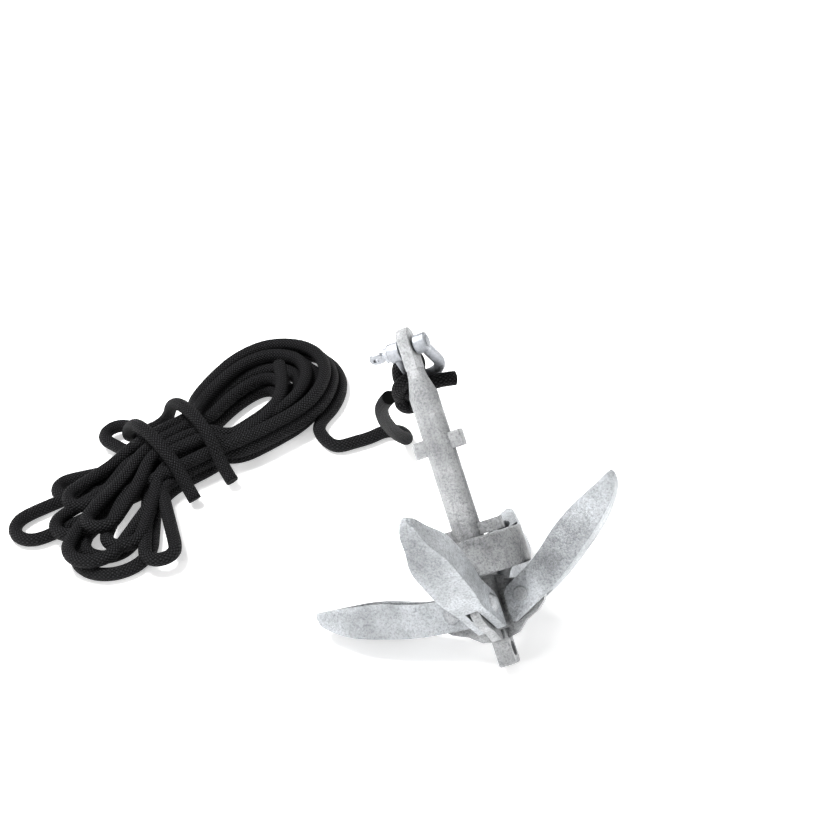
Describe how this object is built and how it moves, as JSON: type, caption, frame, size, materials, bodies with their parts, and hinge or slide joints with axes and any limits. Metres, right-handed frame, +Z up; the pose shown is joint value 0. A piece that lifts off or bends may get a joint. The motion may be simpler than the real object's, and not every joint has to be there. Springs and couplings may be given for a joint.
{
  "type": "folding grapnel anchor",
  "caption": "Folding grapnel anchor with a sliding collar, hinged flukes, a screw shackle and a hanked braided rope, standing open on the ground.",
  "frame": {"origin": "ground level under the middle of the metal anchor's own footprint, without its rope", "axes": "+Z up; +X to the viewer's right, towards the right fluke; +Y away from the viewer, towards the head of the leaning shank and the rope"},
  "size_m": [0.3257, 0.3091, 0.1354],
  "materials": {
    "shank_zinc": "hot-dip galvanised, mottled",
    "collar_zinc": "hot-dip galvanised, grainy casting",
    "fluke_zinc": "hot-dip galvanised, grainy casting",
    "rivet_zinc": "galvanised",
    "shackle_zinc": "galvanised, smooth",
    "rope": "black braided cord"
  },
  "bodies": {
    "shank_body": {"shank": "shank_zinc", "rope_lead": "rope", "rope_hank": "rope", "rope_tie_1": "rope", "rope_tie_2": "rope"},
    "collar_body": {"collar": "collar_zinc"},
    "left_fluke": {"fluke_left": "fluke_zinc", "rivet_left": "rivet_zinc"},
    "front_fluke": {"fluke_front": "fluke_zinc", "rivet_front": "rivet_zinc"},
    "right_fluke": {"fluke_right": "fluke_zinc", "rivet_right": "rivet_zinc"},
    "rear_fluke": {"fluke_rear": "fluke_zinc", "rivet_rear": "rivet_zinc"},
    "shackle_body": {"shackle_bow": "shackle_zinc", "shackle_pin": "shackle_zinc", "rope_loop": "rope", "rope_knot": "rope", "rope_tail": "rope"}
  },
  "joints": [
    {"name": "collar_slide", "type": "slide", "parent": "shank_body", "child": "collar_body", "axis": [-0.1902, 0.6436, 0.7413], "range_m": [0, 0.07]},
    {"name": "left_fluke_fold", "type": "hinge", "parent": "shank_body", "child": "left_fluke", "pos_m": [-0.00719, -0.02982, 0.02103], "axis": [0.3103, 0.7558, -0.5766], "range_deg": [0, 72]},
    {"name": "front_fluke_fold", "type": "hinge", "parent": "shank_body", "child": "front_fluke", "pos_m": [0.00424, -0.04594, 0.03796], "axis": [-0.9078, 0.1281, -0.3993], "range_deg": [0, 45.5]},
    {"name": "right_fluke_fold", "type": "hinge", "parent": "shank_body", "child": "right_fluke", "pos_m": [0.02709, -0.03424, 0.03367], "axis": [-0.3103, -0.7558, 0.5766], "range_deg": [0, 52.5]},
    {"name": "rear_fluke_fold", "type": "hinge", "parent": "shank_body", "child": "rear_fluke", "pos_m": [0.01566, -0.01812, 0.01674], "axis": [0.9314, -0.1203, 0.3435], "range_deg": [0, 53.3]},
    {"name": "shackle_swing", "type": "hinge", "parent": "shank_body", "child": "shackle_body", "pos_m": [-0.01531, 0.05345, 0.1258], "axis": [0.9314, -0.1203, 0.3435], "range_deg": [0, 80]}
  ],
  "couplings": [
    {"joint": "left_fluke_fold", "follows": "collar_slide", "rad_per_m": 17.951},
    {"joint": "front_fluke_fold", "follows": "collar_slide", "rad_per_m": 11.344},
    {"joint": "right_fluke_fold", "follows": "collar_slide", "rad_per_m": 13.089},
    {"joint": "rear_fluke_fold", "follows": "collar_slide", "rad_per_m": 13.289}
  ]
}
